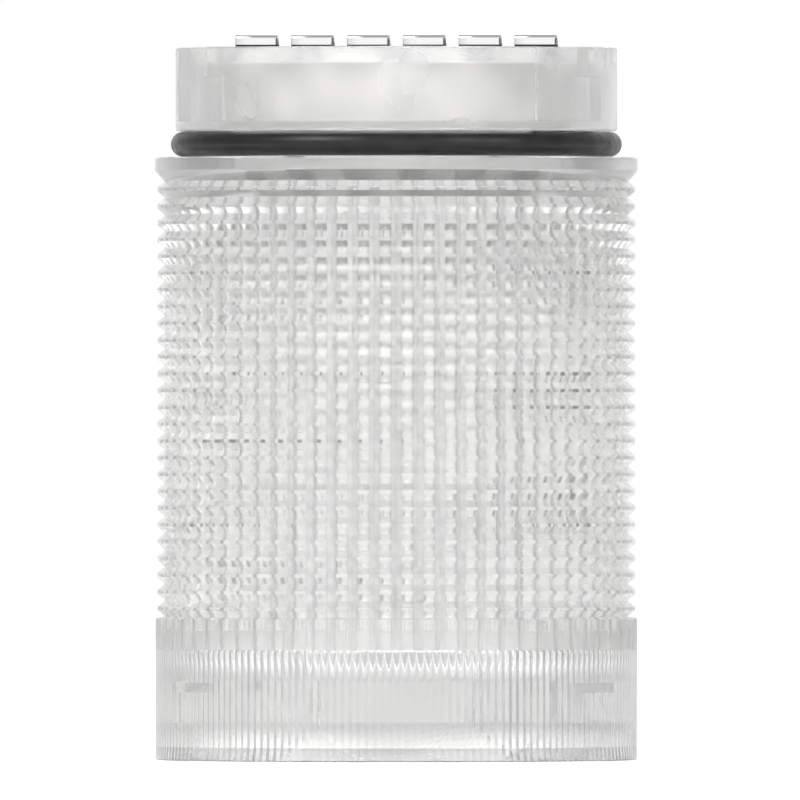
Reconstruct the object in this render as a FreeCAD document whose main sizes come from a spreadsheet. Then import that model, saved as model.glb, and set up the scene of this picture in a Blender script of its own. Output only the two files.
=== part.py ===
import FreeCAD, Part
import os
import re
import Sketcher

# Light element of a modular signal tower: a clear ribbed housing that plugs onto the
# element below with a three-lug bayonet and carries the next one on its neck. A white
# circuit board stands inside it and passes six supply lines from bottom to top.
#
# Frame: the origin is the centre of the collar's lower rim, +Z runs up the tower, the row
# of contacts lies along X and the front of the element faces -Y. Lengths are millimetres
# and angles degrees.

SIZES = (
    # collar and lens, outside
    ("collar_radius", 25.0),
    ("collar_height", 14.85),
    ("ring_inset", 0.2),
    ("ring_depth", 0.75),
    ("ring_count", 26),
    ("flange_proud", 0.05),
    ("flange_edge", 1.35),
    ("flange_bevel", 1.1),
    ("body_height", 62.5),
    # seal groove and neck, outside
    ("seal_section", 2.62),
    ("seal_side_gap", 0.06),
    ("seal_seat_gap", 0.02),
    ("groove_depth", 2.15),
    ("neck_play", 0.2),
    ("neck_rise", 11.35),
    # inside of the housing
    ("collar_wall", 1.9),
    ("stack_gap", 0.15),
    ("lead_in_width", 0.5),
    ("lead_in_height", 1.35),
    ("lens_wall", 3.75),
    ("flute_land", 0.226),
    ("flute_floor", 0.8),
    ("flute_depth", 0.95),
    ("flute_overcut", 0.2),
    ("flute_count", 60),
    ("flute_headroom", 3.2),
    ("neck_wall", 1.95),
    ("neck_roof", 1.6),
    # bayonet
    ("lug_count", 3),
    ("lug_angle", -155.5),
    ("lug_arc", 18.0),
    ("lug_depth", 1.0),
    ("lug_low", 3.9),
    ("lug_high", 8.1),
    ("lug_rib", 1.0),
    ("lug_bar_arc", 3.5),
    ("lug_root", 0.3),
    ("lock_twist", 8.0),
    ("channel_play", 0.2),
    ("channel_play_arc", 1.0),
    ("channel_overcut", 0.5),
    # contacts
    ("contact_count", 6),
    ("contact_gap", 1.57),
    ("contact_side_gap", 2.125),
    ("contact_rise", 1.4),
    ("contact_stock", 0.35),
    ("contact_crown", 2.05),
    ("contact_belly", 3.9),
    ("contact_grip", 2.0),
    ("contact_bevel", 0.25),
    ("slot_play", 0.3),
    ("pad_leg", 3.0),
    ("solder_gap", 0.02),
    # circuit board and the two mouldings that hold it
    ("board_side_gap", 1.8),
    ("board_neck_gap", 1.5),
    ("board_thickness", 1.6),
    ("board_play", 0.2),
    ("carrier_side_gap", 0.2),
    ("carrier_height", 6.0),
    ("carrier_sill", 1.9),
    ("carrier_window_width", 3.0),
    ("carrier_slot", 3.2),
    ("carrier_gap", 0.1),
    ("plate_thickness", 2.0),
    ("plate_floor", 1.15),
    ("plate_play", 0.2),
    ("plate_key_width", 1.2),
    ("plate_key_reach", 0.6),
    # parts soldered to the board
    ("led_width", 3.5),
    ("led_height", 2.8),
    ("led_depth", 1.4),
    ("led_rim", 0.5),
    ("led_cup_depth", 0.5),
    ("led_inset", 13.5),
    ("led_row_pitch", 12.5),
    ("rectifier_width", 3.9),
    ("rectifier_height", 4.4),
    ("rectifier_depth", 2.5),
    ("rectifier_leg_spread", 6.4),
    ("rectifier_leg_pitch", 2.54),
    ("rectifier_inset", 7.2),
    ("rectifier_rise", 1.05),
    ("regulator_width", 6.5),
    ("regulator_height", 2.4),
    ("regulator_depth", 1.7),
    ("regulator_span", 5.8),
    ("regulator_tab_width", 3.0),
    ("regulator_lead_width", 0.75),
    ("regulator_lead_pitch", 2.3),
    ("regulator_inset", 11.0),
    ("regulator_drop", 4.45),
    ("suppressor_width", 2.6),
    ("suppressor_height", 1.8),
    ("suppressor_depth", 1.3),
    ("suppressor_foot", 0.5),
    ("suppressor_inset", 14.0),
    ("suppressor_rise", 3.05),
    ("lead_thickness", 0.2),
    ("capacitor_width", 3.2),
    ("capacitor_height", 2.5),
    ("capacitor_depth", 1.6),
    ("capacitor_inset", 6.0),
    ("capacitor_drop", 7.45),
    ("resistor_width", 3.2),
    ("resistor_height", 1.6),
    ("resistor_depth", 0.6),
    ("resistor_end", 0.5),
    ("resistor_end_skin", 0.05),
    ("resistor_inset", 6.0),
    ("resistor_row_offset", 13.25),
)

document = FreeCAD.newDocument("stack_light_element")
sheet = document.addObject("Spreadsheet::Sheet", "Sizes")
for row, (alias, amount) in enumerate(SIZES, start=1):
    sheet.set("A%d" % row, alias)
    sheet.set("B%d" % row, str(amount))
    sheet.setAlias("B%d" % row, alias)
document.recompute()

ALIASES = {alias for alias, amount in SIZES}
pieces = []


def bound(formula):
    """The formula with every size's name pointing at its cell in the sheet."""
    return re.sub(r"[a-z_]+", lambda word: "Sizes." + word[0] if word[0] in ALIASES else word[0], formula)


def amount_of(formula):
    return float(sheet.evalExpression(bound(formula)))


def tie(feature, **formulas):
    """Bind properties of a feature to formulas on the sheet."""
    for name, formula in formulas.items():
        feature.setExpression(name, bound(formula))


def place(feature, across="0", deep="0", up="0"):
    """Bind the place of a feature to formulas on the sheet."""
    for axis, formula in (("x", across), ("y", deep), ("z", up)):
        feature.setExpression(".Placement.Base." + axis, bound(formula))


def keep(feature, node):
    """Name a finished piece and list it for export."""
    feature.Label = node
    pieces.append(feature)
    return feature


# ---- sketches and features -------------------------------------------------------------


def origin_item(body, role):
    return next(item for item in body.Origin.OriginFeatures if item.Role == role)


def new_body(name):
    return document.addObject("PartDesign::Body", name)


def new_sketch(body, name, plane, lift=None, turn=None):
    """A sketch on one of the body's origin planes, lifted off it or turned about the element's axis."""
    sketch = body.newObject("Sketcher::SketchObject", name)
    sketch.AttachmentSupport = [(origin_item(body, plane), "")]
    sketch.MapMode = "FlatFace"
    if lift:
        sketch.setExpression(".AttachmentOffset.Base.z", bound(lift))
    if turn:
        upright = FreeCAD.Vector(0, 0, 1) if plane == "XY_Plane" else FreeCAD.Vector(0, 1, 0)
        sketch.AttachmentOffset = FreeCAD.Placement(
            FreeCAD.Vector(0, 0, 0), FreeCAD.Rotation(upright, amount_of(turn))
        )
        sketch.setExpression(".AttachmentOffset.Rotation.Angle", bound(turn))
    return sketch


def pin_point(sketch, geometry, corner, x, y):
    """Fix one point of a sketch at two formulas measured from the origin."""
    for kind, axis, formula in (("DistanceX", -2, x), ("DistanceY", -1, y)):
        if formula == "0":
            sketch.addConstraint(Sketcher.Constraint("PointOnObject", geometry, corner, axis))
            continue
        number = sketch.addConstraint(
            Sketcher.Constraint(kind, -1, 1, geometry, corner, amount_of(formula))
        )
        sketch.setExpression("Constraints[%d]" % number, bound(formula))


def outline(body, name, plane, corners, lift=None, turn=None):
    """A closed outline of straight lines through corners given as pairs of formulas."""
    sketch = new_sketch(body, name, plane, lift, turn)
    points = [FreeCAD.Vector(amount_of(x), amount_of(y), 0) for x, y in corners]
    count = len(points)
    for index in range(count):
        sketch.addGeometry(Part.LineSegment(points[index], points[(index + 1) % count]), False)
    for index in range(count):
        follower = (index + 1) % count
        sketch.addConstraint(Sketcher.Constraint("Coincident", index, 2, follower, 1))
    for index, (x, y) in enumerate(corners):
        pin_point(sketch, index, 1, x, y)
    return sketch


def rectangle(body, name, plane, left, right, bottom, top, lift=None, turn=None):
    corners = ((left, bottom), (right, bottom), (right, top), (left, top))
    return outline(body, name, plane, corners, lift, turn)


def circle(body, name, plane, x, y, radius, lift=None):
    sketch = new_sketch(body, name, plane, lift)
    centre = FreeCAD.Vector(amount_of(x), amount_of(y), 0)
    upward = FreeCAD.Vector(0, 0, 1)
    sketch.addGeometry(Part.Circle(centre, upward, amount_of(radius)), False)
    pin_point(sketch, 0, 3, x, y)
    number = sketch.addConstraint(Sketcher.Constraint("Radius", 0, amount_of(radius)))
    sketch.setExpression("Constraints[%d]" % number, bound(radius))
    return sketch


def extrude(body, kind, name, sketch, length, symmetric=False, backwards=False):
    """A Pad or a Pocket of the sketch; backwards turns its direction round."""
    feature = body.newObject("PartDesign::" + kind, name)
    feature.Profile = sketch
    tie(feature, Length=length)
    feature.SideType = "Symmetric" if symmetric else "One side"
    feature.Reversed = backwards
    return feature


def turned(body, kind, name, sketch, arc="360"):
    """A Revolution or a Groove of the sketch about its own upright axis."""
    feature = body.newObject("PartDesign::" + kind, name)
    feature.Profile = sketch
    feature.ReferenceAxis = (sketch, ["V_Axis"])
    feature.Angle = amount_of(arc)
    if arc != "360":
        tie(feature, Angle=arc)
    return feature


def around(body, name, features, count):
    """The features repeated round the element's axis."""
    pattern = body.newObject("PartDesign::PolarPattern", name)
    pattern.Originals = features
    pattern.Axis = (origin_item(body, "Z_Axis"), [""])
    pattern.Angle = 360
    tie(pattern, Occurrences=count)
    body.Tip = pattern
    return pattern


def along_row(body, name, features):
    """The features repeated once for each contact of the row."""
    pattern = body.newObject("PartDesign::LinearPattern", name)
    pattern.Originals = features
    pattern.Direction = (origin_item(body, "X_Axis"), [""])
    tie(pattern, Length="%s * (contact_count - 1)" % CONTACT_PITCH, Occurrences="contact_count")
    body.Tip = pattern
    return pattern


# ---- heights and faces that several pieces share ------------------------------------------

RING_CREST = "(collar_radius - ring_inset)"
RING_ROOT = "(collar_radius - ring_inset - ring_depth)"
FLANGE_RADIUS = "(collar_radius + flange_proud)"
SOCKET_RADIUS = "(collar_radius - collar_wall)"
NECK_RADIUS = "(%s - neck_play)" % SOCKET_RADIUS
GROOVE_RADIUS = "(%s - groove_depth)" % NECK_RADIUS
NECK_BORE = "(%s - neck_wall)" % GROOVE_RADIUS
FLUTE_BORE = "(%s - lens_wall)" % RING_ROOT
FLUTE_MOUTH = "(2 * pi * %s / flute_count - flute_land)" % FLUTE_BORE
RING_TOP = "(body_height - flange_edge - flange_bevel)"
LENS_MIDDLE = "((collar_height + %s) / 2)" % RING_TOP
NECK_TOP = "(body_height + neck_rise)"
NECK_FOOT = "(body_height + seal_section + 2 * seal_side_gap)"
SOCKET_DEPTH = "(neck_rise + stack_gap)"
FLUTE_TOP = "(body_height - flute_headroom)"
CONTACT_PITCH = "((2 * (%s - contact_side_gap) + contact_gap) / contact_count)" % NECK_BORE
CONTACT_WIDTH = "(%s - contact_gap)" % CONTACT_PITCH
ROW_START = "(-%s * (contact_count - 1) / 2)" % CONTACT_PITCH
SLOT_SIDE = "(%s / 2 + slot_play)" % CONTACT_WIDTH
BOARD_SIDE = "(%s - board_side_gap)" % FLUTE_BORE
BOARD_NECK_SIDE = "(%s - board_neck_gap)" % NECK_BORE
CARRIER_RADIUS = "(%s - carrier_side_gap)" % NECK_BORE
BOARD_FACE = "(board_thickness / 2)"
CONTACT_FRONT = "(board_thickness / 2 + solder_gap + contact_stock)"
CONTACT_BACK = "(contact_belly - %s)" % CONTACT_FRONT
CARRIER_TOP = "(%s - neck_roof - carrier_gap)" % NECK_TOP
BOARD_TOP = "(%s - carrier_height + carrier_slot)" % CARRIER_TOP
BOARD_BOTTOM = "(%s + plate_floor)" % SOCKET_DEPTH


# ---- housing: one clear moulding ------------------------------------------------------------


def ring_profile():
    """Corners of the V-shaped rings from the collar up to the flange, crest and root by turns."""
    pitch = "(%s - collar_height) / ring_count" % RING_TOP
    corners = [(RING_ROOT, "collar_height")]
    for ring in range(int(amount_of("ring_count"))):
        crest = "collar_height + (%d + 0.5) * %s" % (ring, pitch)
        root = "collar_height + (%d + 1) * %s" % (ring, pitch)
        corners.append((RING_CREST, crest))
        corners.append((RING_ROOT, root))
    return corners


def make_lens_housing():
    body = new_body("LensHousing")
    outside = [
        ("%s + lead_in_width" % SOCKET_RADIUS, "0"),
        ("collar_radius", "0"),
        ("collar_radius", "collar_height"),
        *ring_profile(),
        (FLANGE_RADIUS, "body_height - flange_edge"),
        (FLANGE_RADIUS, "body_height"),
        (GROOVE_RADIUS, "body_height"),
        (GROOVE_RADIUS, NECK_FOOT),
        (NECK_RADIUS, NECK_FOOT),
        (NECK_RADIUS, NECK_TOP),
        ("0", NECK_TOP),
    ]
    inside = [
        ("0", "%s - neck_roof" % NECK_TOP),
        (NECK_BORE, "%s - neck_roof" % NECK_TOP),
        (NECK_BORE, FLUTE_TOP),
        (FLUTE_BORE, FLUTE_TOP),
        (FLUTE_BORE, SOCKET_DEPTH),
        (SOCKET_RADIUS, SOCKET_DEPTH),
        (SOCKET_RADIUS, "lead_in_height"),
    ]
    section = outline(body, "HousingSection", "XZ_Plane", outside + inside)
    turned(body, "Revolution", "HousingShell", section)

    # flutes of the light bore: grooves that narrow outwards, with a thin land between two of them
    half_step = "180 / flute_count"
    mouth_side = "%s / 2" % FLUTE_MOUTH
    inner, floor = "%s - flute_overcut" % FLUTE_BORE, "%s + flute_depth" % FLUTE_BORE
    corners = (
        (inner, "-" + mouth_side),
        (FLUTE_BORE, "-" + mouth_side),
        (floor, "-flute_floor / 2"),
        (floor, "flute_floor / 2"),
        (FLUTE_BORE, mouth_side),
        (inner, mouth_side),
    )
    groove = outline(
        body, "FluteSection", "XY_Plane", corners, lift=SOCKET_DEPTH, turn=half_step
    )
    length = "%s - %s" % (FLUTE_TOP, SOCKET_DEPTH)
    flute = extrude(body, "Pocket", "Flute", groove, length, backwards=True)
    around(body, "Flutes", [flute], "flute_count")

    # bayonet lugs on the socket wall: a locking rib with a stop bar at its leading end
    inner, outer = "%s - lug_depth" % SOCKET_RADIUS, "%s + lug_root" % SOCKET_RADIUS
    rib_section = rectangle(
        body, "LugRibSection", "XZ_Plane", inner, outer, "lug_high - lug_rib", "lug_high", turn="lug_angle"
    )
    bar_section = rectangle(
        body, "LugBarSection", "XZ_Plane", inner, outer, "lug_low", "lug_high", turn="lug_angle"
    )
    rib = turned(body, "Revolution", "LugRib", rib_section, "lug_arc")
    bar = turned(body, "Revolution", "LugBar", bar_section, "lug_bar_arc")
    around(body, "Lugs", [rib, bar], "lug_count")

    # matching channels in the neck: the lug drops in from the top and is turned home
    floor, open_side = "%s - lug_depth - channel_play" % NECK_RADIUS, "%s + channel_overcut" % NECK_RADIUS
    bottom = "body_height + lug_low - channel_play"
    run_top = "body_height + lug_high + channel_play"
    start = "lug_angle - lock_twist - channel_play_arc"
    entry_section = rectangle(
        body, "EntrySection", "XZ_Plane", floor, open_side, bottom,
        "%s + channel_overcut" % NECK_TOP, turn=start,
    )
    run_section = rectangle(
        body, "RunSection", "XZ_Plane", floor, open_side, bottom, run_top, turn=start
    )
    entry = turned(body, "Groove", "ChannelEntry", entry_section, "lug_arc + 2 * channel_play_arc")
    run = turned(
        body, "Groove", "ChannelRun", run_section, "lug_arc + lock_twist + 2 * channel_play_arc"
    )
    around(body, "Channels", [entry, run], "lug_count")

    # slots in the roof of the neck, one for each contact
    slot_section = rectangle(
        body, "SlotSection", "XY_Plane",
        "%s - %s" % (ROW_START, SLOT_SIDE),
        "%s + %s" % (ROW_START, SLOT_SIDE),
        "-%s - slot_play" % CONTACT_FRONT,
        "%s + slot_play" % CONTACT_BACK,
        lift=NECK_TOP,
    )
    slot = extrude(body, "Pocket", "ContactSlot", slot_section, "neck_roof + carrier_gap")
    along_row(body, "ContactSlots", [slot])
    return keep(body, "lens_housing")


# ---- seal -----------------------------------------------------------------------------------


def make_o_ring():
    """Rubber ring stretched into the groove under the neck, its round section drawn with eight sides."""
    body = new_body("ORing")
    wire = "seal_section / 2"
    middle_radius = "%s + seal_seat_gap + %s" % (GROOVE_RADIUS, wire)
    middle_height = "body_height + seal_side_gap + %s" % wire
    half_side = "%s * tan(22.5)" % wire
    corners = (
        ("%s + %s" % (middle_radius, wire), "%s - %s" % (middle_height, half_side)),
        ("%s + %s" % (middle_radius, wire), "%s + %s" % (middle_height, half_side)),
        ("%s + %s" % (middle_radius, half_side), "%s + %s" % (middle_height, wire)),
        ("%s - %s" % (middle_radius, half_side), "%s + %s" % (middle_height, wire)),
        ("%s - %s" % (middle_radius, wire), "%s + %s" % (middle_height, half_side)),
        ("%s - %s" % (middle_radius, wire), "%s - %s" % (middle_height, half_side)),
        ("%s - %s" % (middle_radius, half_side), "%s - %s" % (middle_height, wire)),
        ("%s + %s" % (middle_radius, half_side), "%s - %s" % (middle_height, wire)),
    )
    section = outline(body, "SealSection", "XZ_Plane", corners)
    turned(body, "Revolution", "SealRing", section)
    return keep(body, "o_ring")


# ---- circuit board and its holders ------------------------------------------------------------


def make_led_board():
    """The board stands across the housing, wide in the light bore and narrow in the neck."""
    body = new_body("LedBoard")
    shoulder = "%s - board_play" % FLUTE_TOP
    corners = (
        ("-" + BOARD_SIDE, BOARD_BOTTOM),
        (BOARD_SIDE, BOARD_BOTTOM),
        (BOARD_SIDE, shoulder),
        (BOARD_NECK_SIDE, shoulder),
        (BOARD_NECK_SIDE, BOARD_TOP),
        ("-" + BOARD_NECK_SIDE, BOARD_TOP),
        ("-" + BOARD_NECK_SIDE, shoulder),
        ("-" + BOARD_SIDE, shoulder),
    )
    section = outline(body, "BoardOutline", "XZ_Plane", corners)
    extrude(body, "Pad", "BoardPanel", section, "board_thickness", symmetric=True)
    return keep(body, "led_board")


def make_contact_carrier():
    """White disc under the neck's roof; the board's top edge sits in its slot."""
    body = new_body("ContactCarrier")
    bottom = "%s - carrier_height" % CARRIER_TOP
    disc = circle(body, "CarrierOutline", "XY_Plane", "0", "0", CARRIER_RADIUS, lift=bottom)
    extrude(body, "Pad", "CarrierDisc", disc, "carrier_height")
    half_slot = "%s + board_play" % CONTACT_FRONT
    slot = rectangle(
        body, "BoardSlotOutline", "XY_Plane",
        "-%s" % CARRIER_RADIUS, CARRIER_RADIUS,
        "-(%s)" % half_slot, half_slot, lift=bottom,
    )
    extrude(body, "Pocket", "BoardSlot", slot, "carrier_slot", backwards=True)
    window = rectangle(
        body, "CarrierWindowOutline", "XY_Plane",
        "%s - %s" % (ROW_START, SLOT_SIDE),
        "%s + %s" % (ROW_START, SLOT_SIDE),
        "-%s - slot_play" % CONTACT_FRONT,
        "%s + slot_play" % CONTACT_BACK,
        lift=CARRIER_TOP,
    )
    hole = extrude(body, "Pocket", "CarrierWindow", window, "carrier_height")
    # openings in the front, below a sill, that leave the springs room to flex
    front_window = rectangle(
        body, "FlexWindowOutline", "XZ_Plane",
        "%s - carrier_window_width / 2" % ROW_START, "%s + carrier_window_width / 2" % ROW_START,
        bottom, "%s - carrier_sill" % CARRIER_TOP,
    )
    flex = extrude(body, "Pocket", "FlexWindow", front_window, CARRIER_RADIUS, backwards=True)
    along_row(body, "CarrierWindows", [hole, flex])
    return keep(body, "contact_carrier")


def make_socket_plate():
    """Round plate that closes the light bore above the socket and holds the board's lower edge."""
    body = new_body("SocketPlate")
    plate_top = "%s + plate_thickness" % SOCKET_DEPTH
    disc = circle(
        body, "PlateOutline", "XY_Plane", "0", "0", "%s - plate_play" % FLUTE_BORE, lift=SOCKET_DEPTH
    )
    extrude(body, "Pad", "PlateDisc", disc, "plate_thickness")
    # keys that enter the flutes and stop the plate from turning
    half_step = "180 / flute_count"
    key = rectangle(
        body, "KeySection", "XZ_Plane",
        "%s / 2" % FLUTE_BORE, "%s + plate_key_reach" % FLUTE_BORE, SOCKET_DEPTH, plate_top,
        turn=half_step,
    )
    tooth = extrude(body, "Pad", "PlateKey", key, "plate_key_width", symmetric=True)
    around(body, "PlateKeys", [tooth], "lug_count")
    half_slot = "%s + board_play" % BOARD_FACE
    slot = rectangle(
        body, "PlateSlotOutline", "XY_Plane",
        "-%s - board_play" % BOARD_SIDE, "%s + board_play" % BOARD_SIDE,
        "-(%s)" % half_slot, half_slot, lift=BOARD_BOTTOM,
    )
    extrude(body, "Pocket", "PlateSlot", slot, "plate_thickness", backwards=True)
    half_window = "%s + slot_play" % CONTACT_BACK
    window = rectangle(
        body, "PlateWindowOutline", "XY_Plane",
        "%s - %s" % (ROW_START, SLOT_SIDE),
        "%s + %s" % (ROW_START, SLOT_SIDE),
        "-(%s)" % half_window, half_window, lift=SOCKET_DEPTH,
    )
    hole = extrude(body, "Pocket", "PlateWindow", window, "plate_thickness", backwards=True)
    along_row(body, "PlateWindows", [hole])
    return keep(body, "socket_plate")


# ---- contacts ---------------------------------------------------------------------------------


def make_contact_spring(number):
    """One strip folded into a loop over the board's top edge; its crown stands out of the roof."""
    body = new_body("ContactSpring%d" % number)
    crown = "(%s + contact_rise)" % NECK_TOP
    foot = "(%s - contact_grip)" % BOARD_TOP
    waist = "(%s + contact_grip)" % BOARD_TOP
    belly = "(%s - contact_stock)" % NECK_TOP
    front, back = "-%s" % CONTACT_FRONT, CONTACT_BACK
    crest_end = "contact_crown - %s" % CONTACT_FRONT
    corners = (
        (front, foot),
        (front, "%s - contact_bevel" % crown),
        ("%s + contact_bevel" % front, crown),
        (crest_end, crown),
        (back, belly),
        (back, "%s - 2 * contact_stock" % belly),
        (CONTACT_FRONT, waist),
        (CONTACT_FRONT, foot),
        ("%s - contact_stock" % CONTACT_FRONT, foot),
        ("%s - contact_stock" % CONTACT_FRONT, "%s + contact_stock / 2" % waist),
        ("%s - contact_stock" % back, "%s - 3 * contact_stock / 2" % belly),
        ("%s - contact_stock" % back, "%s - contact_stock / 2" % belly),
        ("%s - contact_stock / 2" % crest_end, "%s - contact_stock" % crown),
        ("%s + contact_stock" % front, "%s - contact_stock" % crown),
        ("%s + contact_stock" % front, foot),
    )
    strip = outline(body, "SpringFold%d" % number, "YZ_Plane", corners)
    extrude(body, "Pad", "SpringStrip%d" % number, strip, CONTACT_WIDTH, symmetric=True)
    place(body, across="%s + %s * %d" % (ROW_START, CONTACT_PITCH, number - 1))
    return keep(body, "contact_spring_%d" % number)


def make_contact_pad(number):
    """A channel clipped under the board's lower edge; the spring of the element below meets it."""
    body = new_body("ContactPad%d" % number)
    outer = "(%s + solder_gap + contact_stock)" % BOARD_FACE
    inner = "(%s + solder_gap)" % BOARD_FACE
    under = "(%s - solder_gap)" % BOARD_BOTTOM
    bottom, tip = "%s - contact_stock" % under, "%s + pad_leg" % under
    corners = (
        ("-%s" % outer, bottom),
        (outer, bottom),
        (outer, tip),
        (inner, tip),
        (inner, under),
        ("-%s" % inner, under),
        ("-%s" % inner, tip),
        ("-%s" % outer, tip),
    )
    channel = outline(body, "PadSection%d" % number, "YZ_Plane", corners)
    extrude(body, "Pad", "PadChannel%d" % number, channel, CONTACT_WIDTH, symmetric=True)
    place(body, across="%s + %s * %d" % (ROW_START, CONTACT_PITCH, number - 1))
    return keep(body, "contact_pad_%d" % number)


# ---- parts soldered to the board ----------------------------------------------------------------


def block(name, width, depth, height, across="0", deep="0", up="0"):
    """A box centred on the given point in X and Z; deep is the place of its front face."""
    box = document.addObject("Part::Box", name)
    tie(box, Length=width, Width=depth, Height=height)
    place(box, "%s - (%s) / 2" % (across, width), deep, "%s - (%s) / 2" % (up, height))
    return box


def joined(name, shapes):
    fuse = document.addObject("Part::MultiFuse", name)
    fuse.Shapes = shapes
    return fuse


def make_led(number, side, across, up):
    """A surface-mounted lamp: a white package with a sunk window; side is -1 in front, 1 behind."""
    name = "Led%s%d" % ("Front" if side < 0 else "Back", number)
    near = "-%s - solder_gap - led_depth" % BOARD_FACE if side < 0 else "%s + solder_gap" % BOARD_FACE
    package = block(name + "Package", "led_width", "led_depth", "led_height", across, near, up)
    cup_near = near if side < 0 else "%s + led_depth - led_cup_depth" % near
    cup = block(
        name + "Cup", "led_width - 2 * led_rim", "led_cup_depth", "led_height - 2 * led_rim",
        across, cup_near, up,
    )
    lamp = document.addObject("Part::Cut", name)
    lamp.Base = package
    lamp.Tool = cup
    return keep(lamp, "led_%s_%d" % ("front" if side < 0 else "back", number))


def make_bridge_rectifier():
    """Black moulded bridge with two legs above and two below."""
    near = "-%s - solder_gap - rectifier_depth" % BOARD_FACE
    across, up = "%s - rectifier_inset" % BOARD_SIDE, "%s + rectifier_rise" % LENS_MIDDLE
    case = block(
        "RectifierCase", "rectifier_width", "rectifier_depth", "rectifier_height", across, near, up
    )
    legs = [
        block(
            "RectifierLeg%d" % (leg + 1), "regulator_lead_width", "lead_thickness", "rectifier_leg_spread",
            "%s + %s * rectifier_leg_pitch / 2" % (across, sign),
            "-%s - solder_gap - lead_thickness" % BOARD_FACE, up,
        )
        for leg, sign in enumerate(("(-1)", "1"))
    ]
    return keep(joined("BridgeRectifier", [case] + legs), "bridge_rectifier")


def make_current_regulator():
    """Black regulator with a wide cooling tab above and three leads below."""
    near = "-%s - solder_gap - regulator_depth" % BOARD_FACE
    flat = "-%s - solder_gap - lead_thickness" % BOARD_FACE
    across, up = "regulator_inset - %s" % BOARD_SIDE, "%s - regulator_drop" % LENS_MIDDLE
    case = block(
        "RegulatorCase", "regulator_width", "regulator_depth", "regulator_height", across, near, up
    )
    tab = block(
        "RegulatorTab", "regulator_tab_width", "lead_thickness", "regulator_span / 2",
        across, flat, "%s + regulator_span / 4" % up,
    )
    leads = [
        block(
            "RegulatorLead%d" % (lead + 1), "regulator_lead_width", "lead_thickness", "regulator_span / 2",
            "%s + %s * regulator_lead_pitch" % (across, sign), flat, "%s - regulator_span / 4" % up,
        )
        for lead, sign in enumerate(("(-1)", "0", "1"))
    ]
    return keep(joined("CurrentRegulator", [case, tab] + leads), "current_regulator")


def make_surge_suppressor():
    near = "-%s - solder_gap - suppressor_depth" % BOARD_FACE
    across, up = "suppressor_inset - %s" % BOARD_SIDE, "%s + suppressor_rise" % LENS_MIDDLE
    case = block(
        "SuppressorCase", "suppressor_width", "suppressor_depth", "suppressor_height",
        across, near, up,
    )
    straps = block(
        "SuppressorStraps", "suppressor_width / 2", "lead_thickness",
        "suppressor_height + 2 * suppressor_foot",
        across, "-%s - solder_gap - lead_thickness" % BOARD_FACE, up,
    )
    return keep(joined("SurgeSuppressor", [case, straps]), "surge_suppressor")


def make_filter_capacitor():
    """Ceramic capacitor on the back of the board."""
    near = "%s + solder_gap" % BOARD_FACE
    body = block(
        "CapacitorBody", "capacitor_width", "capacitor_depth", "capacitor_height",
        "%s - capacitor_inset" % BOARD_SIDE, near, "%s - capacitor_drop" % LENS_MIDDLE,
    )
    return keep(body, "filter_capacitor")


def make_series_resistor(number, across, up):
    """Flat chip resistor with a metal cap over each end."""
    near = "-%s - solder_gap - resistor_depth" % BOARD_FACE
    name = "Resistor%d" % number
    chip = block(name + "Chip", "resistor_width", "resistor_depth", "resistor_height", across, near, up)
    caps = [
        block(
            name + "Cap%d" % (end + 1), "resistor_end", "resistor_depth + resistor_end_skin",
            "resistor_height",
            "%s + %s * (resistor_width - resistor_end) / 2" % (across, sign),
            "%s - resistor_end_skin" % near, up,
        )
        for end, sign in enumerate(("(-1)", "1"))
    ]
    return keep(joined("SeriesResistor%d" % number, [chip] + caps), "series_resistor_%d" % number)


# ---- assembly -------------------------------------------------------------------------------------

make_lens_housing()
make_o_ring()
make_led_board()
make_contact_carrier()
make_socket_plate()
for contact in range(1, int(amount_of("contact_count")) + 1):
    make_contact_spring(contact)
    make_contact_pad(contact)
for side in (-1, 1):
    lamp = 0
    for level in ("-1", "0", "1"):
        for edge in ("(-1)", "1"):
            lamp += 1
            column = "%s * (%s - led_inset)" % (edge, BOARD_SIDE)
            make_led(lamp, side, column, "%s + (%s) * led_row_pitch" % (LENS_MIDDLE, level))
make_bridge_rectifier()
make_current_regulator()
make_surge_suppressor()
make_filter_capacitor()
resistor = 0
for level in ("(-1)", "1"):
    for edge in ("(-1)", "1"):
        resistor += 1
        column = "%s * (%s - resistor_inset)" % (edge, BOARD_SIDE)
        make_series_resistor(resistor, column, "%s + %s * resistor_row_offset" % (LENS_MIDDLE, level))

document.recompute()

for item in document.Objects:
    if "Invalid" in item.State or "Error" in item.State:
        raise RuntimeError("%s did not build: %s" % (item.Label, item.State))
for piece in pieces:
    if piece.Shape.isNull() or not piece.Shape.isValid():
        raise RuntimeError("%s has no valid shape" % piece.Label)
    if not piece.Shape.Solids:
        raise RuntimeError("%s has no solid" % piece.Label)

os.makedirs("parts", exist_ok=True)
for piece in pieces:
    piece.Shape.exportStep(os.path.join("parts", piece.Label + ".step"))
print("%d pieces written" % len(pieces))
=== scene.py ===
import math

import bmesh
import bpy
from mathutils import Euler, Matrix, Vector


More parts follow.
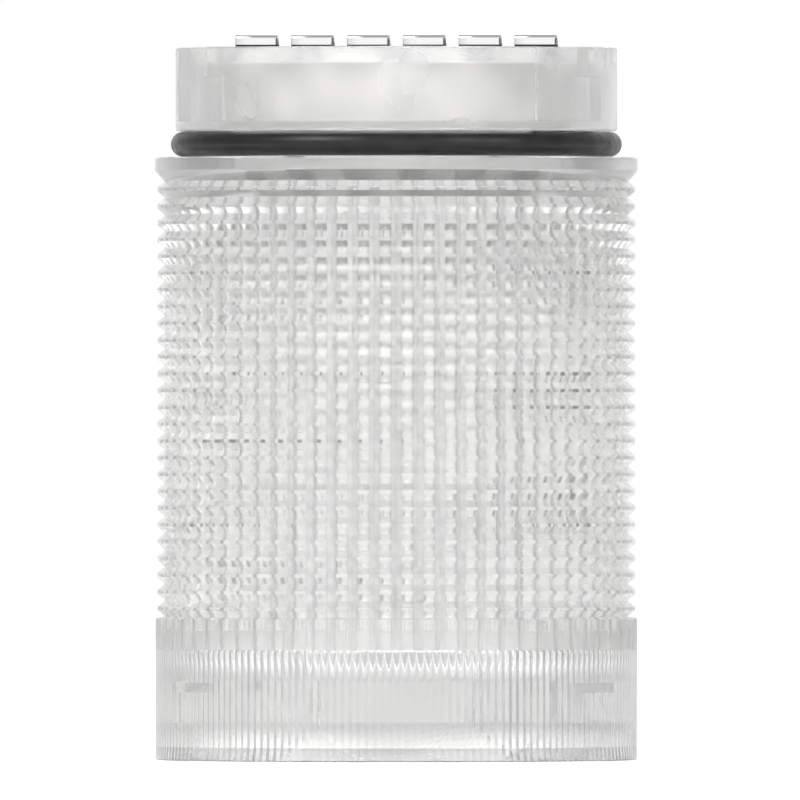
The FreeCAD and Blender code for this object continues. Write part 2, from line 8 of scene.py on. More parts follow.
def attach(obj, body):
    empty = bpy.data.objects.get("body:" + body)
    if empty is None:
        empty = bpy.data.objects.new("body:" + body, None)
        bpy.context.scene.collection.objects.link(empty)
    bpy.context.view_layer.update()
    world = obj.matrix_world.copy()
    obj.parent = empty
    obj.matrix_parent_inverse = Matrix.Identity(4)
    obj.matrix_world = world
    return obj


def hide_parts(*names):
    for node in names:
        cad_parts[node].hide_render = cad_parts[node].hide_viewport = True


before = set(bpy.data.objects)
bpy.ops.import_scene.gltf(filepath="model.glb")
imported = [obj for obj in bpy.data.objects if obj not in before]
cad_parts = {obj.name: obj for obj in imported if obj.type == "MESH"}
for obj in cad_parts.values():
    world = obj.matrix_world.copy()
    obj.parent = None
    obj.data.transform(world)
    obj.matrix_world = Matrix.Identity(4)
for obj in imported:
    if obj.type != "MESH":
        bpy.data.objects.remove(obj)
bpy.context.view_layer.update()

# ---- housing -----------------------------------------------------------------------------
# One injection moulding of clear polycarbonate: collar with its socket, lens with V-shaped
# rings outside and upright flutes inside, flange, seal groove and bayonet neck. The outline
# is spun round the axis, then flutes, grips, lugs and channels are pressed into its walls.

MM = 0.001
COLUMNS = 720
STEP = 2 * math.pi / COLUMNS

COLLAR_RADIUS = 25.0 * MM
COLLAR_HEIGHT = 14.85 * MM
RING_CREST = 24.8 * MM
RING_ROOT = 24.05 * MM
RING_COUNT = 26
CREST_FLAT = 0.36 * MM
ROOT_FLAT = 0.06 * MM
FLANGE_RADIUS = 25.05 * MM
FLANGE_EDGE = 1.35 * MM
FLANGE_BEVEL = 1.1 * MM
BODY_HEIGHT = 62.5 * MM
GROOVE_RADIUS = 20.75 * MM
NECK_FOOT = 65.24 * MM
NECK_RADIUS = 22.9 * MM
NECK_TOP = 73.85 * MM
NECK_BORE = 18.8 * MM
NECK_ROOF = 1.6 * MM
SOCKET_RADIUS = 23.1 * MM
SOCKET_DEPTH = 11.5 * MM
LEAD_IN_WIDTH = 0.5 * MM
LEAD_IN_HEIGHT = 1.35 * MM
FLUTE_BORE = 20.3 * MM
FLUTE_RADIUS = 0.95 * MM
FLUTE_COUNT = 60
FLUTE_TOP = 59.3 * MM
EDGE = 0.15 * MM
NICK = 0.02 * MM

# angles and arcs in degrees
LUG_COUNT = 3
LUG_START = -155.5
LUG_ARC = 18.0
LUG_BAR_ARC = 3.5
LUG_DEPTH = 1.0 * MM
LUG_LOW = 3.9 * MM
LUG_HIGH = 8.1 * MM
LUG_RIB = 1.0 * MM
LOCK_TWIST = 8.0
CHANNEL_PLAY = 1.0
CHANNEL_DEPTH = 1.2 * MM
CHANNEL_LOW = BODY_HEIGHT + 3.7 * MM
CHANNEL_HIGH = BODY_HEIGHT + 8.3 * MM
CHANNEL_START = LUG_START - LOCK_TWIST - CHANNEL_PLAY
ENTRY_ARC = LUG_ARC + 2 * CHANNEL_PLAY
RUN_ARC = ENTRY_ARC + LOCK_TWIST
GRIP_DEPTH = 0.2 * MM
GRIP_WAVE = (0.0, 0.5, 1.0, 0.5)

ring_top = BODY_HEIGHT - FLANGE_EDGE - FLANGE_BEVEL
ring_pitch = (ring_top - COLLAR_HEIGHT) / RING_COUNT

# each point of the outline: the wall it belongs to, its radius and its height
outline = [
    ("plain", SOCKET_RADIUS + LEAD_IN_WIDTH, 0.0),
    ("plain", COLLAR_RADIUS - EDGE, 0.0),
    ("plain", COLLAR_RADIUS, EDGE),
    ("plain", COLLAR_RADIUS, COLLAR_HEIGHT - EDGE),
    ("plain", COLLAR_RADIUS - EDGE, COLLAR_HEIGHT),
    ("plain", RING_ROOT, COLLAR_HEIGHT),
]
for ring in range(RING_COUNT):
    foot = COLLAR_HEIGHT + ring * ring_pitch
    outline += [
        ("plain", RING_ROOT, foot + ROOT_FLAT / 2),
        ("plain", RING_CREST, foot + ring_pitch / 2 - CREST_FLAT / 2),
        ("plain", RING_CREST, foot + ring_pitch / 2 + CREST_FLAT / 2),
        ("plain", RING_ROOT, foot + ring_pitch - ROOT_FLAT / 2),
    ]
outline += [
    ("plain", FLANGE_RADIUS, BODY_HEIGHT - FLANGE_EDGE),
    ("plain", FLANGE_RADIUS, BODY_HEIGHT - EDGE),
    ("plain", FLANGE_RADIUS - EDGE, BODY_HEIGHT),
    ("plain", GROOVE_RADIUS, BODY_HEIGHT),
    ("plain", GROOVE_RADIUS, NECK_FOOT),
    ("plain", NECK_RADIUS - EDGE, NECK_FOOT),
    ("plain", NECK_RADIUS, NECK_FOOT + EDGE),
    ("plain", NECK_RADIUS, CHANNEL_LOW - NICK),
    ("run", NECK_RADIUS, CHANNEL_LOW + NICK),
    ("run", NECK_RADIUS, CHANNEL_HIGH - NICK),
    ("entry", NECK_RADIUS, CHANNEL_HIGH + NICK),
    ("entry", NECK_RADIUS, NECK_TOP - EDGE),
    ("entry", NECK_RADIUS - EDGE, NECK_TOP),
    ("plain", NECK_BORE, NECK_TOP),
]
inside = [
    ("plain", NECK_BORE, NECK_TOP - NECK_ROOF),
    ("plain", NECK_BORE, FLUTE_TOP),
    ("flute", FLUTE_BORE, FLUTE_TOP),
    ("flute", FLUTE_BORE, SOCKET_DEPTH),
    ("plain", SOCKET_RADIUS, SOCKET_DEPTH),
    ("grip", SOCKET_RADIUS, SOCKET_DEPTH - EDGE),
    ("grip", SOCKET_RADIUS, LUG_HIGH + NICK),
    ("rib", SOCKET_RADIUS, LUG_HIGH - NICK),
    ("rib", SOCKET_RADIUS, LUG_HIGH - LUG_RIB + NICK),
    ("bar", SOCKET_RADIUS, LUG_HIGH - LUG_RIB - NICK),
    ("bar", SOCKET_RADIUS, LUG_LOW + NICK),
    ("grip", SOCKET_RADIUS, LUG_LOW - NICK),
    ("grip", SOCKET_RADIUS, LEAD_IN_HEIGHT),
    ("plain", SOCKET_RADIUS + LEAD_IN_WIDTH, 0.0),
]
walls = ("plain", "run", "entry", "flute", "grip", "rib", "bar")


def within(angle, start, arc):
    """True where an angle lies on one of the lugs' or channels' arcs round the axis."""
    return (angle - start) % (360 / LUG_COUNT) <= arc


def pressed(wall, radius, angle):
    """Radius of a wall once the tool's details are pressed into it."""
    if wall == "flute":
        pitch = 360 / FLUTE_COUNT
        across = math.radians((angle % pitch) - pitch / 2) * radius
        if abs(across) >= FLUTE_RADIUS:
            return radius
        return radius + math.sqrt(FLUTE_RADIUS ** 2 - across ** 2)
    if wall == "run" and within(angle, CHANNEL_START, RUN_ARC):
        return NECK_RADIUS - CHANNEL_DEPTH
    if wall == "entry" and within(angle, CHANNEL_START, ENTRY_ARC):
        return NECK_RADIUS - CHANNEL_DEPTH
    if wall == "rib" and within(angle, LUG_START, LUG_ARC):
        return SOCKET_RADIUS - LUG_DEPTH
    if wall == "bar" and within(angle, LUG_START, LUG_BAR_ARC):
        return SOCKET_RADIUS - LUG_DEPTH
    if wall in ("grip", "rib", "bar"):
        column = round(angle / math.degrees(STEP))
        return radius + GRIP_DEPTH * GRIP_WAVE[column % len(GRIP_WAVE)]
    return radius


def spun_wall(work, rows):
    """Spin outline points through one flute's width and repeat that wedge round the axis."""
    kind = work.verts.layers.int["wall"]
    seed = []
    for wall, radius, height in rows:
        vert = work.verts.new((radius, 0.0, height))
        vert[kind] = walls.index(wall)
        seed.append(vert)
    edges = [work.edges.new(pair) for pair in zip(seed, seed[1:])]
    wedge = 2 * math.pi / FLUTE_COUNT
    before = set(work.verts) - set(seed)
    bmesh.ops.spin(
        work, geom=seed + edges, cent=(0, 0, 0), axis=(0, 0, 1), angle=wedge,
        steps=COLUMNS // FLUTE_COUNT,
    )
    verts = [vert for vert in work.verts if vert not in before]
    edges = {edge for vert in verts for edge in vert.link_edges}
    faces = {face for vert in verts for face in vert.link_faces}
    bmesh.ops.spin(
        work, geom=verts + list(edges) + list(faces), cent=(0, 0, 0), axis=(0, 0, 1),
        angle=2 * math.pi - wedge, steps=FLUTE_COUNT - 1, use_duplicate=True,
    )


housing_work = bmesh.new()
housing_work.verts.layers.int.new("wall")
spun_wall(housing_work, outline)
spun_wall(housing_work, inside)
bmesh.ops.remove_doubles(housing_work, verts=housing_work.verts, dist=1e-6)

# the roof: a disc on each face with the six contact slots left open, joined by the slots' walls
CONTACT_COUNT = 6
CONTACT_PITCH = 5.82 * MM
SLOT_WIDTH = 4.85 * MM
SLOT_FRONT = -1.47 * MM
SLOT_BACK = 2.83 * MM


def row_place(number):
    """How far to the right of the middle a contact of the row stands; numbered from 0."""
    return (number - (CONTACT_COUNT - 1) / 2) * CONTACT_PITCH


def ring_edges(work, radius, height):
    """The open edges that lie on a circle of the given radius and height."""
    found = []
    for edge in work.edges:
        if len(edge.link_faces) != 1:
            continue
        middle = (edge.verts[0].co + edge.verts[1].co) / 2
        if abs(middle.z - height) < 1e-6 and abs(middle.xy.length - radius) < 2e-5:
            found.append(edge)
    return found


slot_loops = {}
for height in (NECK_TOP, NECK_TOP - NECK_ROOF):
    border = ring_edges(housing_work, NECK_BORE, height)
    loops = []
    for slot in range(CONTACT_COUNT):
        left, right = row_place(slot) - SLOT_WIDTH / 2, row_place(slot) + SLOT_WIDTH / 2
        corners = ((left, SLOT_FRONT), (right, SLOT_FRONT), (right, SLOT_BACK), (left, SLOT_BACK))
        verts = [housing_work.verts.new((x, y, height)) for x, y in corners]
        pairs = zip(verts, verts[1:] + verts[:1])
        loops.append([housing_work.edges.new(pair) for pair in pairs])
    slot_loops[height] = loops
    bmesh.ops.triangle_fill(
        housing_work, use_beauty=True, use_dissolve=False,
        edges=border + [edge for loop in loops for edge in loop], normal=(0, 0, 1),
    )
for upper, lower in zip(slot_loops[NECK_TOP], slot_loops[NECK_TOP - NECK_ROOF]):
    bmesh.ops.bridge_loops(housing_work, edges=upper + lower)

kind = housing_work.verts.layers.int["wall"]
for vert in housing_work.verts:
    wall = walls[vert[kind]]
    if wall == "plain":
        continue
    radius = vert.co.xy.length
    angle = math.degrees(math.atan2(vert.co.y, vert.co.x)) % 360
    vert.co.xy = vert.co.xy.normalized() * pressed(wall, radius, angle)
bmesh.ops.recalc_face_normals(housing_work, faces=housing_work.faces)


def placed(work, name):
    """The shape that a bmesh holds, as an object of the scene; the bmesh is freed."""
    mesh = bpy.data.meshes.new(name)
    work.to_mesh(mesh)
    work.free()
    piece = bpy.data.objects.new(name, mesh)
    bpy.context.scene.collection.objects.link(piece)
    return piece


def new_material(name):
    """A material, returned with its node tree and its Principled shader."""
    material = bpy.data.materials.new(name)
    material.use_nodes = True
    return material, material.node_tree, material.node_tree.nodes["Principled BSDF"]


def feed(tree, value, socket):
    """Give a socket a plain value or the output of another node."""
    if isinstance(value, bpy.types.NodeSocket):
        tree.links.new(value, socket)
    else:
        socket.default_value = value


def reckon(tree, operation, *values):
    """One Math node; its inputs are plain values or the outputs of other nodes."""
    sum_node = tree.nodes.new("ShaderNodeMath")
    sum_node.operation = operation
    for value, socket in zip(values, sum_node.inputs):
        feed(tree, value, socket)
    return sum_node.outputs[0]


def ramp(tree, value, start, end, low, high):
    """A value mapped from one range to another and held at its ends."""
    mapped = tree.nodes.new("ShaderNodeMapRange")
    limits = {"Value": value, "From Min": start, "From Max": end, "To Min": low, "To Max": high}
    for socket, limit in limits.items():
        feed(tree, limit, mapped.inputs[socket])
    return mapped.outputs["Result"]


def blend(tree, mask, first, second, kind="RGBA"):
    """What a mask of 0 to 1 mixes from two colours, or from two values where kind is FLOAT."""
    none, full, mixed = {"RGBA": (6, 7, 2), "FLOAT": (2, 3, 0)}[kind]
    mixer = tree.nodes.new("ShaderNodeMix")
    mixer.data_type = kind
    feed(tree, mask, mixer.inputs[0])
    feed(tree, first, mixer.inputs[none])
    feed(tree, second, mixer.inputs[full])
    return mixer.outputs[mixed]


def separated(tree, kind):
    """The X, Y and Z of one kind of texture coordinate."""
    source = tree.nodes.new("ShaderNodeTexCoord")
    parted = tree.nodes.new("ShaderNodeSeparateXYZ")
    tree.links.new(source.outputs[kind], parted.inputs[0])
    return parted.outputs["X"], parted.outputs["Y"], parted.outputs["Z"]


def span(tree, first, second):
    """How far a point lies from an axis, from its two offsets."""
    squares = [reckon(tree, "MULTIPLY", offset, offset) for offset in (first, second)]
    return reckon(tree, "SQRT", reckon(tree, "ADD", *squares))


# the slight unevenness of every finish: a noise spread between two values
unevenness = bpy.data.node_groups.new("surface_unevenness", "ShaderNodeTree")
for socket in ("Scale", "Low", "High"):
    unevenness.interface.new_socket(socket, in_out="INPUT", socket_type="NodeSocketFloat")
unevenness.interface.new_socket("Value", in_out="OUTPUT", socket_type="NodeSocketFloat")
given = unevenness.nodes.new("NodeGroupInput")
result = unevenness.nodes.new("NodeGroupOutput")
where = unevenness.nodes.new("ShaderNodeTexCoord")
grain = unevenness.nodes.new("ShaderNodeTexNoise")
grain.inputs["Detail"].default_value = 0.0
feed(unevenness, where.outputs["Object"], grain.inputs["Vector"])
feed(unevenness, given.outputs["Scale"], grain.inputs["Scale"])
spread = ramp(unevenness, grain.outputs["Fac"], 0.3, 0.7, given.outputs["Low"], given.outputs["High"])
feed(unevenness, spread, result.inputs["Value"])


def uneven(tree, scale, low, high):
    """The output of an unevenness group placed in a material; scale is in features per metre."""
    group = tree.nodes.new("ShaderNodeGroup")
    group.node_tree = unevenness
    for socket, value in (("Scale", scale), ("Low", low), ("High", high)):
        group.inputs[socket].default_value = value
    return group.outputs["Value"]


POLYCARBONATE_IOR = 1.58
CLEAR_SHARE = 0.84
FLANK_FROST = 0.15
CREST_GLOSS = 0.05
INNER_GLOSS = 0.06
NECK_FROST = 0.2
HANDLING_MARKS = 0.015
CLEAR_TINT = (0.99, 0.989, 0.984, 1)
CLOUDY_TINT = (0.978, 0.977, 0.972, 1)
RIM_PAINTED_SHADE = (0.6, 0.6, 0.595, 1)

clear_plastic, tree, shader = new_material("clear_polycarbonate")
shader.inputs["Transmission Weight"].default_value = CLEAR_SHARE
shader.inputs["IOR"].default_value = POLYCARBONATE_IOR
across, forward, upward = separated(tree, "Object")
reach = span(tree, across, forward)
# the mould leaves the flanks of the rings finely frosted, while their crests stay glossy
outer = ramp(tree, reach, RING_CREST - 0.05 * MM, RING_CREST - 0.01 * MM, FLANK_FROST, CREST_GLOSS)
is_outer = reckon(tree, "GREATER_THAN", reach, RING_ROOT - 0.1 * MM)
frost = blend(tree, is_outer, INNER_GLOSS, outer, kind="FLOAT")
neck_frost = ramp(tree, upward, BODY_HEIGHT, NECK_FOOT, 0.0, NECK_FROST)
handled = uneven(tree, 140.0, 0.0, 1.0)
rough = reckon(tree, "MULTIPLY_ADD", handled, HANDLING_MARKS, reckon(tree, "ADD", frost, neck_frost))
feed(tree, rough, shader.inputs["Roughness"])
# painted shade: the clear plastic below the lead-in's top is painted grey, in place of the shadow at
# the collar's foot
rim_shade_mask = ramp(tree, upward, LEAD_IN_HEIGHT, LEAD_IN_HEIGHT + EDGE, 1.0, 0.0)
clear_tint = blend(tree, handled, CLEAR_TINT, CLOUDY_TINT)
feed(tree, blend(tree, rim_shade_mask, clear_tint, RIM_PAINTED_SHADE), shader.inputs["Base Color"])

housing = placed(housing_work, "clear_housing")
housing.data.shade_smooth()
housing.data.set_sharp_from_angle(angle=math.radians(24))
housing.data.materials.append(clear_plastic)
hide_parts("lens_housing")
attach(housing, "root")

# ---- seal --------------------------------------------------------------------------------
# Black nitrile cord ring, 2.62 mm thick, stretched into the groove between flange and neck.
# Its surface has the dull bloom of rubber.

SEAL_WIRE = 2.62 * MM / 2
SEAL_BORE = 20.77 * MM
SEAL_REST = 0.06 * MM
SEAL_SECTION_SIDES = 40
SEAL_COLUMNS = 360

seal_work = bmesh.new()
seal_middle = Vector((SEAL_BORE + SEAL_WIRE, 0, BODY_HEIGHT + SEAL_REST + SEAL_WIRE))
section = bmesh.ops.create_circle(
    seal_work, segments=SEAL_SECTION_SIDES, radius=SEAL_WIRE,
    matrix=Matrix.Translation(seal_middle) @ Euler((math.pi / 2, 0, 0)).to_matrix().to_4x4(),
)
bmesh.ops.spin(
    seal_work, geom=section["verts"] + list(seal_work.edges), cent=(0, 0, 0), axis=(0, 0, 1),
    angle=2 * math.pi, steps=SEAL_COLUMNS, use_merge=True,
)
bmesh.ops.recalc_face_normals(seal_work, faces=seal_work.faces)

rubber, tree, shader = new_material("nitrile_rubber")
bloom = blend(tree, uneven(tree, 400.0, 0.0, 1.0), (0.009, 0.009, 0.01, 1), (0.018, 0.018, 0.019, 1))
feed(tree, bloom, shader.inputs["Base Color"])
feed(tree, uneven(tree, 900.0, 0.3, 0.42), shader.inputs["Roughness"])

seal = placed(seal_work, "seal_ring")
seal.data.shade_smooth()
seal.data.materials.append(rubber)
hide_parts("o_ring")
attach(seal, "root")

# ---- contact springs ---------------------------------------------------------------------
# Tinned bronze strip, sheared to width and folded into a loop over the board's edge. Its
# sheared sides and a line where a strip leaves its slot are darkened with painted shade.

# the strip's outline seen from the side, as distance to the rear and height in millimetres
spring_fold = (
    (-1.17, 67.35), (-1.17, 75.0), (-0.92, 75.25), (0.88, 75.25), (2.73, 73.5), (2.73, 72.8),
    (1.17, 71.35), (1.17, 67.35), (0.82, 67.35), (0.82, 71.525), (2.38, 72.975), (2.38, 73.325),
    (0.705, 74.9), (-0.82, 74.9), (-0.82, 67.35),
)
CONTACT_WIDTH = 4.25 * MM
FOLD_BEVEL = 0.14 * MM
SHEAR_BEVEL = 0.12 * MM
SHEAR_ANGLE = 1.3
SLOT_LINE = NECK_TOP + 0.22 * MM
TIN_BRIGHT = 0.93
SLOT_SHADE_DARK = 0.05
SIDE_SHADE_DARK = 0.06

tinned, tree, shader = new_material("tinned_spring")
shader.inputs["Metallic"].default_value = 1.0
feed(tree, uneven(tree, 1500.0, 0.07, 0.13), shader.inputs["Roughness"])
upward = separated(tree, "Object")[2]
facing_side = reckon(tree, "ABSOLUTE", separated(tree, "Normal")[0])
off_line = reckon(tree, "ABSOLUTE", reckon(tree, "SUBTRACT", upward, SLOT_LINE))
# painted shade: a near-black band on the strip where it leaves its slot, in place of the gap's shadow
shade = ramp(tree, off_line, 0.11 * MM, 0.16 * MM, SLOT_SHADE_DARK, TIN_BRIGHT)
# painted shade: faces that point sideways are painted near black, in place of the shade they fall in
painted_side_shade = ramp(tree, facing_side, 0.4, 0.8, 1.0, SIDE_SHADE_DARK)
feed(tree, reckon(tree, "MULTIPLY", shade, painted_side_shade), shader.inputs["Base Color"])

for number in range(CONTACT_COUNT):
    work = bmesh.new()
    left = row_place(number) - CONTACT_WIDTH / 2
    side = work.faces.new([work.verts.new((left, y * MM, z * MM)) for y, z in spring_fold])
    pushed = bmesh.ops.extrude_face_region(work, geom=[side])["geom"]
    bmesh.ops.translate(
        work, verts=[item for item in pushed if isinstance(item, bmesh.types.BMVert)],
        vec=(CONTACT_WIDTH, 0, 0),
    )
    bmesh.ops.recalc_face_normals(work, faces=work.faces)
    folds = [item for item in work.edges if abs(item.verts[0].co.x - item.verts[1].co.x) > MM]
    bmesh.ops.bevel(
        work, geom=folds, affect="EDGES", offset=FOLD_BEVEL, segments=5, profile=0.5, material=-1,
    )
    shears = [item for item in work.edges if item.calc_face_angle(0) > SHEAR_ANGLE]
    bmesh.ops.bevel(
        work, geom=shears, affect="EDGES", offset=SHEAR_BEVEL, segments=2, profile=0.5, material=-1,
    )
    strip = placed(work, "contact_strip_%d" % (number + 1))
    strip.data.shade_smooth()
    strip.data.set_sharp_from_angle(angle=math.radians(35))
    strip.data.materials.append(tinned)
    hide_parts("contact_spring_%d" % (number + 1))
    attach(strip, "root")

# ---- circuit board -----------------------------------------------------------------------
# Glass-fibre board, 1.6 mm, in white solder mask. Copper tracks stand faintly under the mask
# and the sawn edge shows the bare laminate. It slides into the carrier and the plate.

TRACK_WIDTH = 0.9 * MM
MASK_WHITE = (0.97, 0.97, 0.96, 1)
MASK_OVER_TRACK = (0.93, 0.94, 0.92, 1)
MASK_PATCH = (0.95, 0.95, 0.93, 1)
LAMINATE = (0.72, 0.7, 0.56, 1)


def dress(names, material):
    """Give CAD solids a material in place of their plain one."""
    for name in names:
        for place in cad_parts[name].material_slots:
            place.material = material


def facing_front_or_back(tree):
    """A mask that is 1 on the faces along the board and 0 on the ones across it."""
    return ramp(tree, reckon(tree, "ABSOLUTE", separated(tree, "Normal")[1]), 0.4, 0.6, 0.0, 1.0)


mask_paint, tree, shader = new_material("white_solder_mask")
across = separated(tree, "Object")[0]
half_pitch = CONTACT_PITCH / 2
from_middle = reckon(tree, "PINGPONG", across, half_pitch)
off_track = reckon(tree, "ABSOLUTE", reckon(tree, "SUBTRACT", from_middle, half_pitch))
track = ramp(tree, off_track, TRACK_WIDTH / 2, TRACK_WIDTH / 2 + 0.1 * MM, 1.0, 0.0)
painted = blend(tree, track, MASK_WHITE, MASK_OVER_TRACK)
patchy = blend(tree, uneven(tree, 120.0, 0.0, 0.5), painted, MASK_PATCH)
board_tint = blend(tree, facing_front_or_back(tree), LAMINATE, patchy)
feed(tree, board_tint, shader.inputs["Base Color"])
feed(tree, uneven(tree, 700.0, 0.3, 0.42), shader.inputs["Roughness"])
dress(["led_board"], mask_paint)

# ---- contact carrier ---------------------------------------------------------------------
# White glass-filled nylon disc, moulded, with six windows for the contact springs, closed in
# front by thin webs. It is pressed into the neck under the roof and grips the board's top edge.

WEB_OUTER = 18.5 * MM
WEB_INNER = 18.15 * MM
WEB_LOW = 66.15 * MM
WEB_HIGH = 70.25 * MM
WEB_HALF = 1.5 * MM
WEB_COLUMNS = 8

nylon, tree, shader = new_material("white_nylon")
# painted shade: both tones are grey, far darker than the white nylon, to darken the carrier inside
# the neck; the mottling between them is the nylon's own flow marks
flow_marks_and_painted_shade = blend(tree, uneven(tree, 220.0, 0.0, 1.0), (0.57, 0.565, 0.55, 1), (0.38, 0.375, 0.36, 1))
feed(tree, flow_marks_and_painted_shade, shader.inputs["Base Color"])
feed(tree, uneven(tree, 1200.0, 0.4, 0.55), shader.inputs["Roughness"])
dress(["contact_carrier"], nylon)

web_work = bmesh.new()
for number in range(CONTACT_COUNT):
    centre = row_place(number)
    first, last = (math.asin((centre + half) / WEB_OUTER) for half in (-WEB_HALF, WEB_HALF))
    start = Matrix.Rotation(first - math.pi / 2, 3, "Z")
    corners = (
        (WEB_INNER, WEB_LOW), (WEB_OUTER, WEB_LOW), (WEB_OUTER, WEB_HIGH), (WEB_INNER, WEB_HIGH),
    )
    verts = [web_work.verts.new(start @ Vector((radius, 0, z))) for radius, z in corners]
    bmesh.ops.spin(
        web_work, geom=[web_work.faces.new(verts)], cent=(0, 0, 0), axis=(0, 0, 1),
        angle=last - first, steps=WEB_COLUMNS,
    )
bmesh.ops.recalc_face_normals(web_work, faces=web_work.faces)
webs = placed(web_work, "carrier_webs")
webs.data.materials.append(nylon)
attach(webs, "root")

# ---- socket plate ------------------------------------------------------------------------
# Milky polycarbonate plate, moulded, that closes the light bore above the socket and holds
# the contact pads.

milky, tree, shader = new_material("milky_polycarbonate")
shader.inputs["Transmission Weight"].default_value = 0.4
shader.inputs["IOR"].default_value = POLYCARBONATE_IOR
milk = blend(tree, uneven(tree, 150.0, 0.0, 1.0), (0.93, 0.93, 0.92, 1), (0.89, 0.89, 0.88, 1))
feed(tree, milk, shader.inputs["Base Color"])
feed(tree, uneven(tree, 600.0, 0.16, 0.26), shader.inputs["Roughness"])
dress(["socket_plate"], milky)

# ---- contact pads ------------------------------------------------------------------------
# Tinned bronze clips soldered over the board's lower edge, dulled by the springs that rub
# them.

dull_tin, tree, shader = new_material("dull_tin")
shader.inputs["Metallic"].default_value = 1.0
rubbed = blend(tree, uneven(tree, 1100.0, 0.0, 1.0), (0.9, 0.9, 0.89, 1), (0.76, 0.76, 0.74, 1))
feed(tree, rubbed, shader.inputs["Base Color"])
feed(tree, uneven(tree, 1100.0, 0.14, 0.3), shader.inputs["Roughness"])
dress(["contact_pad_%d" % number for number in range(1, CONTACT_COUNT + 1)], dull_tin)

# ---- lamps -------------------------------------------------------------------------------
# Surface-mounted lamps in white ceramic cups, 3.5 by 2.8 mm, soldered in two columns on both
# faces of the board. The cup's round window is filled with pale silicone and phosphor.

LAMP_COUNT = 6
LAMP_COLUMN = 5.0 * MM
LAMP_PITCH = 12.5 * MM
LAMP_LOWEST = 24.95 * MM
WINDOW_RADIUS = 1.1 * MM
WINDOW_BLUR = 0.05 * MM
PHOSPHOR = (0.86, 0.83, 0.66, 1)

lamp_finish, tree, shader = new_material("lamp_cup")
across, _, upward = separated(tree, "Object")
off_column = reckon(tree, "SUBTRACT", reckon(tree, "ABSOLUTE", across), LAMP_COLUMN)
above_lowest = reckon(tree, "SUBTRACT", upward, LAMP_LOWEST)
off_row = reckon(tree, "PINGPONG", above_lowest, LAMP_PITCH / 2)
far = span(tree, off_column, off_row)
disc = ramp(tree, far, WINDOW_RADIUS - WINDOW_BLUR, WINDOW_RADIUS + WINDOW_BLUR, 1.0, 0.0)
window = reckon(tree, "MULTIPLY", disc, facing_front_or_back(tree))
cup = blend(tree, uneven(tree, 500.0, 0.0, 1.0), (0.93, 0.93, 0.91, 1), (0.88, 0.88, 0.86, 1))
feed(tree, blend(tree, window, cup, PHOSPHOR), shader.inputs["Base Color"])
feed(tree, ramp(tree, window, 0.0, 1.0, 0.42, 0.18), shader.inputs["Roughness"])
for face in ("front", "back"):
    dress(["led_%s_%d" % (face, number) for number in range(1, LAMP_COUNT + 1)], lamp_finish)

# ---- rectifier, regulator, suppressor, resistors and capacitor ---------------------------
# Black epoxy packages with tinned leads, four chip resistors and a ceramic capacitor with
# tinned caps, soldered to the board.

EPOXY = ((0.014, 0.014, 0.015, 1), (0.03, 0.03, 0.031, 1))
CERAMIC = ((0.66, 0.63, 0.57, 1), (0.74, 0.72, 0.68, 1))
TINNED_END = (0.8, 0.8, 0.78, 1)
END_BLUR = 0.03 * MM


def soldered_finish(name, tones, along, middle, half, both_sides=False):
    """Two near tones for a body, tinned past half its length from its middle on one axis."""
    material, tree, shader = new_material(name)
    run = separated(tree, "Object")["XYZ".index(along)]
    if both_sides:
        run = reckon(tree, "ABSOLUTE", run)
    off = reckon(tree, "ABSOLUTE", reckon(tree, "SUBTRACT", run, middle))
    tinned_end = ramp(tree, off, half - END_BLUR, half + END_BLUR, 0.0, 1.0)
    mottled = blend(tree, uneven(tree, 900.0, 0.0, 1.0), *tones)
    feed(tree, blend(tree, tinned_end, mottled, TINNED_END), shader.inputs["Base Color"])
    feed(tree, tinned_end, shader.inputs["Metallic"])
    feed(tree, ramp(tree, tinned_end, 0.0, 1.0, 0.52, 0.25), shader.inputs["Roughness"])
    return material


dress(["bridge_rectifier"], soldered_finish("rectifier_epoxy", EPOXY, "Z", 38.5 * MM, 2.2 * MM))
dress(["current_regulator"], soldered_finish("regulator_epoxy", EPOXY, "Z", 33.0 * MM, 1.2 * MM))
dress(["surge_suppressor"], soldered_finish("suppressor_epoxy", EPOXY, "Z", 40.5 * MM, 0.9 * MM))
glaze = soldered_finish("resistor_glaze", EPOXY, "X", 12.5 * MM, 1.2 * MM, both_sides=True)
dress(["series_resistor_%d" % number for number in range(1, 5)], glaze)
dress(["filter_capacitor"], soldered_finish("capacitor_ceramic", CERAMIC, "X", 12.5 * MM, 1.1 * MM))

# ---- studio floor ------------------------------------------------------------------------
# Plain pale floor just under the collar. It glows a little for the camera alone, so that it
# meets the white backdrop without an edge.

FLOOR_RADIUS = 3.0
FLOOR_SIDES = 96
FLOOR_DROP = 0.2 * MM
FLOOR_GLOW = 0.75

floor_paint, tree, shader = new_material("floor_paint")
shader.inputs["Base Color"].default_value = (0.9, 0.9, 0.9, 1)
shader.inputs["Roughness"].default_value = 0.9
shader.inputs["Emission Color"].default_value = (1, 1, 1, 1)
path = tree.nodes.new("ShaderNodeLightPath")
glow = reckon(tree, "MULTIPLY", path.outputs["Is Camera Ray"], FLOOR_GLOW)
feed(tree, glow, shader.inputs["Emission Strength"])

floor_work = bmesh.new()
bmesh.ops.create_circle(floor_work, cap_ends=True, segments=FLOOR_SIDES, radius=FLOOR_RADIUS)
floor = placed(floor_work, "floor")
floor.location.z = -FLOOR_DROP
floor.data.materials.append(floor_paint)

# ---- studio light ------------------------------------------------------------------------
# A white backdrop for the camera and soft light for what isn't glossy or clear. Reflections
# see it white ahead and behind, greyer above and to the sides. Light through the clear
# plastic is brighter from above, below and in front, and dimmer from the sides.

SOFT_STRENGTH = 0.8
BACKDROP_STRENGTH = 1.0

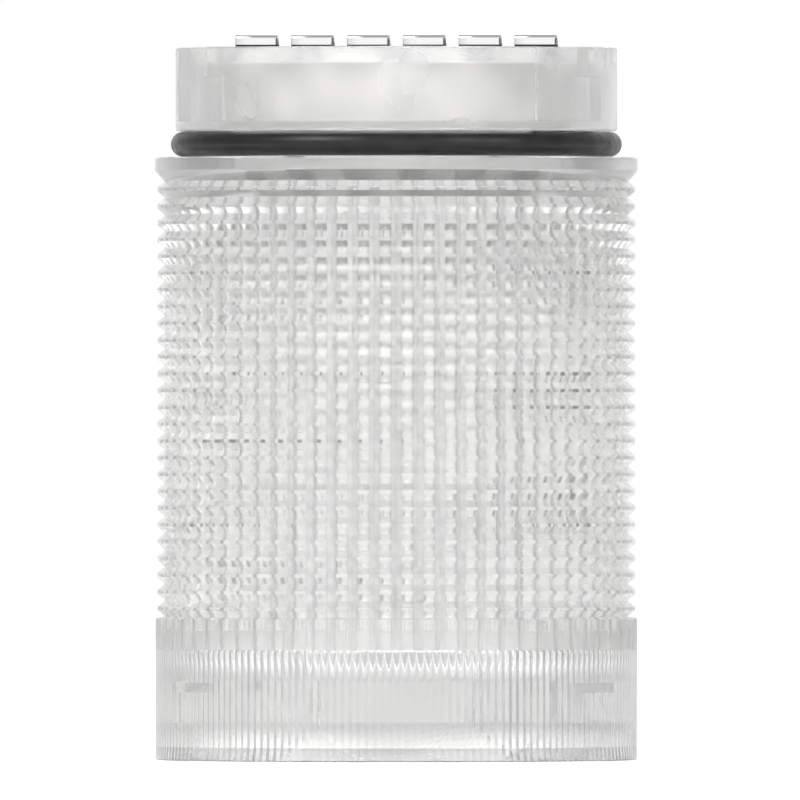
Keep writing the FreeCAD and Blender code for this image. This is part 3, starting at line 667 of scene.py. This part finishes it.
world = bpy.data.worlds.new("studio")
bpy.context.scene.world = world
world.use_nodes = True
tree = world.node_tree
tree.nodes.clear()
path = tree.nodes.new("ShaderNodeLightPath")
by_camera = path.outputs["Is Camera Ray"]
by_plastic = path.outputs["Is Transmission Ray"]
glossy_or_clear = reckon(tree, "MAXIMUM", path.outputs["Is Glossy Ray"], by_plastic)
x, y, z = separated(tree, "Generated")
sideways = reckon(tree, "ABSOLUTE", x)
steep = reckon(tree, "ABSOLUTE", z)
mirrored = reckon(
    tree, "MULTIPLY",
    ramp(tree, steep, 0.2, 0.7, 1.0, 0.4),
    ramp(tree, sideways, 0.3, 0.8, 1.0, 0.4),
)
ahead = reckon(
    tree, "MULTIPLY",
    ramp(tree, steep, 0.0, 0.3, 0.6, 4.8),
    ramp(tree, y, -0.1, -0.8, 1.0, 2.2),
)
through = reckon(tree, "MULTIPLY", ahead, ramp(tree, sideways, 0.05, 0.65, 1.0, 0.24))
indirect = blend(tree, by_plastic, mirrored, through, kind="FLOAT")

soft = tree.nodes.new("ShaderNodeBackground")
soft.inputs["Color"].default_value = (0.8, 0.8, 0.8, 1)
soft.inputs["Strength"].default_value = SOFT_STRENGTH
seen = tree.nodes.new("ShaderNodeBackground")
seen.inputs["Color"].default_value = (1, 1, 1, 1)
strength = blend(tree, by_camera, indirect, BACKDROP_STRENGTH, kind="FLOAT")
feed(tree, strength, seen.inputs["Strength"])
mix = tree.nodes.new("ShaderNodeMixShader")
feed(tree, reckon(tree, "MAXIMUM", by_camera, glossy_or_clear), mix.inputs[0])
feed(tree, soft.outputs[0], mix.inputs[1])
feed(tree, seen.outputs[0], mix.inputs[2])
out = tree.nodes.new("ShaderNodeOutputWorld")
feed(tree, mix.outputs[0], out.inputs[0])

LIGHT_AIM = Vector((0, 0, 0.04))
for name, place, energy, size in (
    ("key_light", (-0.9, -1.1, 1.1), 9.0, 0.9),
    ("fill_light", (1.2, -0.9, 0.7), 5.0, 1.0),
    ("top_light", (0.0, 1.3, 1.2), 4.0, 1.0),
):
    lamp = bpy.data.lights.new(name, "AREA")
    lamp.energy = energy
    lamp.size = size
    holder = bpy.data.objects.new(name, lamp)
    bpy.context.scene.collection.objects.link(holder)
    holder.location = place
    holder.rotation_euler = (LIGHT_AIM - Vector(place)).to_track_quat("-Z", "Y").to_euler()

# ---- camera ------------------------------------------------------------------------------
# A very long lens, level with the middle of the element and a little to the right of dead
# front.

AZIMUTH = math.radians(6.0)
LENS = 1600.0
SENSOR = 36.0
FIELD = 82.99 * MM
AIM_RIGHT = 0.379 * MM
AIM_HEIGHT = 37.34 * MM

camera_data = bpy.data.cameras.new("camera")
camera_data.lens = LENS
camera_data.sensor_width = SENSOR
camera_data.clip_start = 0.1
camera_data.clip_end = 20.0
camera = bpy.data.objects.new("camera", camera_data)
bpy.context.scene.collection.objects.link(camera)
back = Vector((math.sin(AZIMUTH), -math.cos(AZIMUTH), 0))
right = Vector((math.cos(AZIMUTH), math.sin(AZIMUTH), 0))
aim = right * AIM_RIGHT + Vector((0, 0, AIM_HEIGHT))
camera.location = aim + back * (FIELD * LENS / SENSOR)
camera.rotation_euler = (-back).to_track_quat("-Z", "Y").to_euler()
bpy.context.scene.camera = camera
bpy.context.scene.view_settings.view_transform = "Standard"
bpy.context.scene.cycles.max_bounces = 24
bpy.context.scene.cycles.transmission_bounces = 24
bpy.context.scene.cycles.glossy_bounces = 16
bpy.context.scene.cycles.diffuse_bounces = 8
